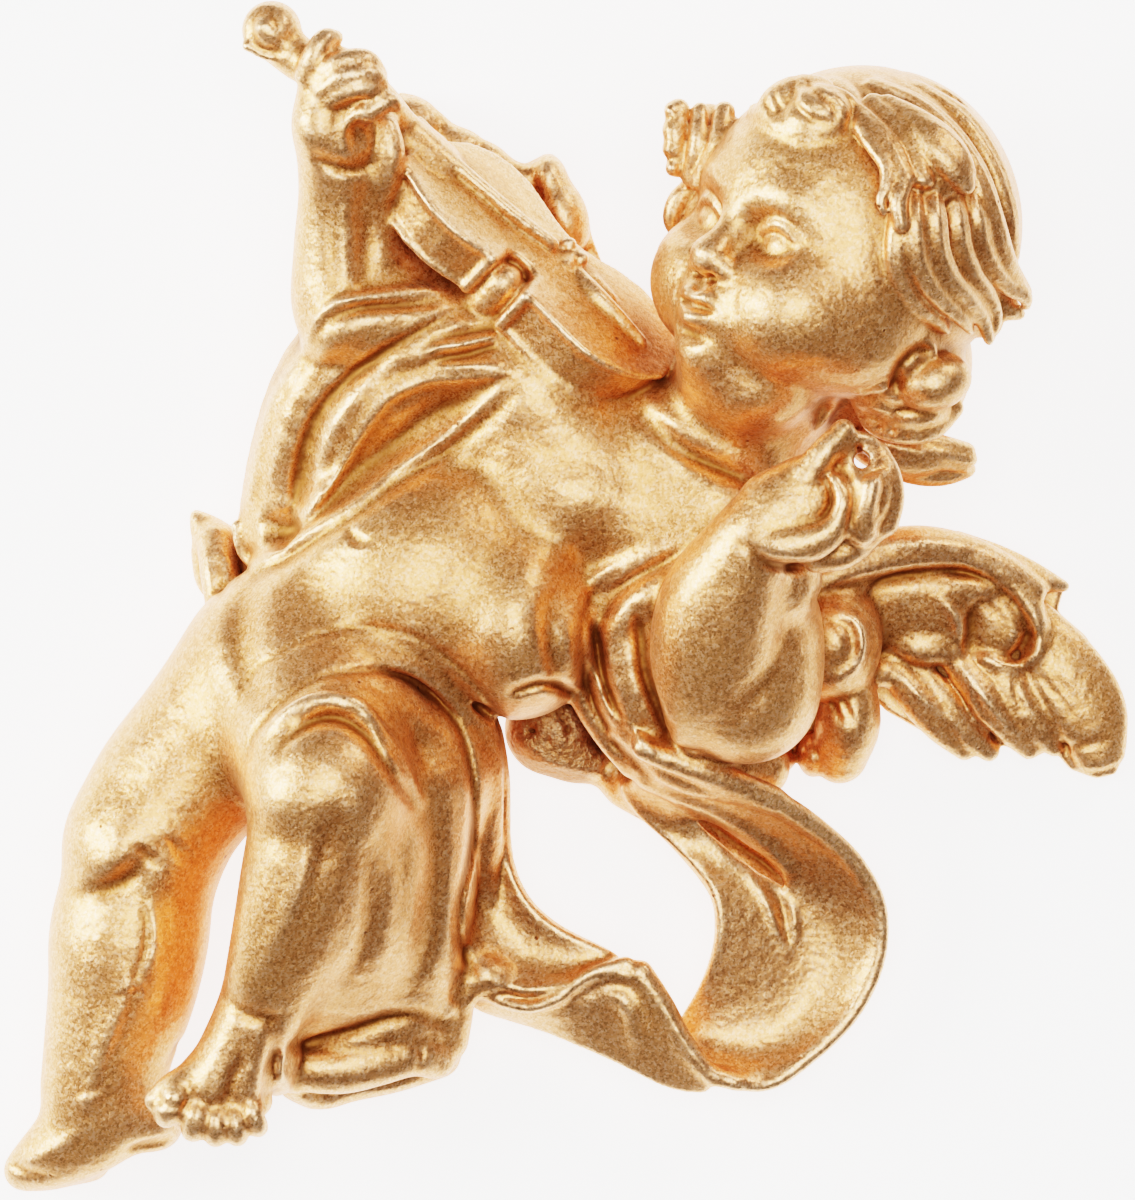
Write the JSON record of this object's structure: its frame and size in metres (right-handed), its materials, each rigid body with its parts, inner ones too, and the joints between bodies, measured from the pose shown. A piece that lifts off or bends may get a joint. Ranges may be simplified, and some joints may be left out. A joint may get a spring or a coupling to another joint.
{
  "type": "angel statue",
  "caption": "Gilded cast cherub with two wings, playing a violin held at the chin; curly hair, a long scarf looping free of the body, and a flat back to lie on.",
  "frame": {"origin": "centre of the plan bounding box, on the flat back that the casting lies on", "axes": "+Z out of the flat back towards the front of the figure, +Y towards the violin scroll and head end, +X towards the spread near wing"},
  "size_m": [0.1416, 0.1494, 0.0454],
  "materials": {
    "gilt_resin": "gold metallic paint, satin, grainy"
  },
  "bodies": {
    "root": {"cherub": "gilt_resin"}
  },
  "joints": []
}
